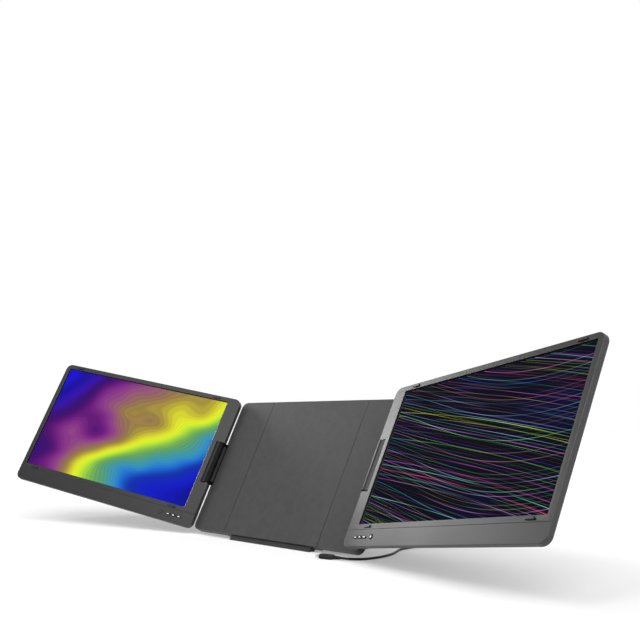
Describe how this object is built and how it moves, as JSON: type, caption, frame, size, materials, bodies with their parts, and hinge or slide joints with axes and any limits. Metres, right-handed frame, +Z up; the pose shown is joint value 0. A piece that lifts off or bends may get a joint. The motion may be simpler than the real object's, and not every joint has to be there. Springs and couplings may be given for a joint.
{
  "type": "laptop screen extender",
  "caption": "Two hinged display panels on sliding arms beside a slim leaning body with a fold-out kickstand, which grips a laptop's lid, and a short lead with a plug.",
  "frame": {"origin": "centre of the flat underside of the rubber foot under the body, on the table", "axes": "+Z up, -Y to the front (the side the displays face), +X to the right as seen from the front"},
  "size_m": [1.0726, 0.3308, 0.2868],
  "materials": {
    "front_plastic": "fine-grained charcoal-grey moulded plastic",
    "back_plastic": "satin dark-grey moulded plastic",
    "screen_glass": "display glass with an anti-glare film",
    "light_guide": "bright metal edge on a clear light guide",
    "circuit_board": "green solder resist",
    "button_metal": "brushed metal-look caps",
    "rubber": "matte black rubber",
    "steel": "zinc-plated or brushed steel",
    "bush_brass": "plain turned bush",
    "guide_plastic": "slippery black plastic",
    "lead_jacket": "satin black cable jacket",
    "plug_plastic": "black moulded plug body"
  },
  "bodies": {
    "core": {"core_front": "back_plastic", "core_back": "back_plastic", "slide_guides": "guide_plastic", "core_screws": "steel", "base_foot": "rubber", "stand_brackets": "back_plastic", "stand_pins": "steel"},
    "stand": {"stand_leg": "back_plastic", "stand_foot": "rubber"},
    "arm_left": {"arm_front_left": "back_plastic", "arm_back_left": "back_plastic", "slide_bars_left": "steel", "arm_screws_left": "steel", "port_left": "steel", "hinge_block_left": "back_plastic", "hinge_bushes_left": "bush_brass", "grip_pad_left": "rubber"},
    "panel_left": {"front_frame_left": "front_plastic", "chin_cover_left": "front_plastic", "back_cover_left": "back_plastic", "lcd_glass_left": "screen_glass", "backlight_left": "light_guide", "driver_board_left": "circuit_board", "button_board_left": "circuit_board", "bumpers_left": "rubber", "panel_screws_left": "steel", "hinge_leaves_left": "steel", "hinge_pin_left": "steel"},
    "arm_right": {"arm_front_right": "back_plastic", "arm_back_right": "back_plastic", "slide_bars_right": "steel", "arm_screws_right": "steel", "port_right": "steel", "hinge_block_right": "back_plastic", "hinge_bushes_right": "bush_brass", "grip_pad_right": "rubber", "lead": "lead_jacket", "laptop_plug": "plug_plastic", "arm_plug": "plug_plastic", "plug_tips": "steel", "lead_reliefs": "plug_plastic"},
    "panel_right": {"front_frame_right": "front_plastic", "chin_cover_right": "front_plastic", "back_cover_right": "back_plastic", "lcd_glass_right": "screen_glass", "backlight_right": "light_guide", "driver_board_right": "circuit_board", "button_board_right": "circuit_board", "bumpers_right": "rubber", "panel_screws_right": "steel", "hinge_leaves_right": "steel", "hinge_pin_right": "steel"},
    "menu_button_left": {"menu_button_left": "button_metal"},
    "down_button_left": {"down_button_left": "button_metal"},
    "up_button_left": {"up_button_left": "button_metal"},
    "power_button_left": {"power_button_left": "button_metal"},
    "menu_button_right": {"menu_button_right": "button_metal"},
    "down_button_right": {"down_button_right": "button_metal"},
    "up_button_right": {"up_button_right": "button_metal"},
    "power_button_right": {"power_button_right": "button_metal"}
  },
  "joints": [
    {"name": "arm_left_slide", "type": "slide", "parent": "core", "child": "arm_left", "axis": [-1, 0, 0], "range_m": [0, 0.03]},
    {"name": "arm_right_slide", "type": "slide", "parent": "core", "child": "arm_right", "axis": [1, 0, 0], "range_m": [0, 0.03]},
    {"name": "panel_left_hinge", "type": "hinge", "parent": "arm_left", "child": "panel_left", "pos_m": [-0.1895, 0.03892, 0.11318], "axis": [0, 0.4524, 0.8918], "range_deg": [-79.7, 155.3]},
    {"name": "panel_right_hinge", "type": "hinge", "parent": "arm_right", "child": "panel_right", "pos_m": [0.1895, 0.02278, 0.12137], "axis": [0, -0.4524, -0.8918], "range_deg": [-70.8, 164.2]},
    {"name": "stand_hinge", "type": "hinge", "parent": "core", "child": "stand", "pos_m": [0, 0.06908, 0.11582], "axis": [1, 0, 0], "range_deg": [-49, 11]},
    {"name": "menu_button_left_press", "type": "slide", "parent": "panel_left", "child": "menu_button_left", "axis": [-0.4179, 0.8102, -0.411], "range_m": [0, 0.0005], "stiffness_N_per_m": 250, "springref_m": -0.0008},
    {"name": "down_button_left_press", "type": "slide", "parent": "panel_left", "child": "down_button_left", "axis": [-0.4179, 0.8102, -0.411], "range_m": [0, 0.0005], "stiffness_N_per_m": 250, "springref_m": -0.0008},
    {"name": "up_button_left_press", "type": "slide", "parent": "panel_left", "child": "up_button_left", "axis": [-0.4179, 0.8102, -0.411], "range_m": [0, 0.0005], "stiffness_N_per_m": 250, "springref_m": -0.0008},
    {"name": "power_button_left_press", "type": "slide", "parent": "panel_left", "child": "power_button_left", "axis": [-0.4179, 0.8102, -0.411], "range_m": [0, 0.0005], "stiffness_N_per_m": 250, "springref_m": -0.0008},
    {"name": "menu_button_right_press", "type": "slide", "parent": "panel_right", "child": "menu_button_right", "axis": [0.2723, 0.8581, -0.4353], "range_m": [0, 0.0005], "stiffness_N_per_m": 250, "springref_m": -0.0008},
    {"name": "down_button_right_press", "type": "slide", "parent": "panel_right", "child": "down_button_right", "axis": [0.2723, 0.8581, -0.4353], "range_m": [0, 0.0005], "stiffness_N_per_m": 250, "springref_m": -0.0008},
    {"name": "up_button_right_press", "type": "slide", "parent": "panel_right", "child": "up_button_right", "axis": [0.2723, 0.8581, -0.4353], "range_m": [0, 0.0005], "stiffness_N_per_m": 250, "springref_m": -0.0008},
    {"name": "power_button_right_press", "type": "slide", "parent": "panel_right", "child": "power_button_right", "axis": [0.2723, 0.8581, -0.4353], "range_m": [0, 0.0005], "stiffness_N_per_m": 250, "springref_m": -0.0008}
  ]
}
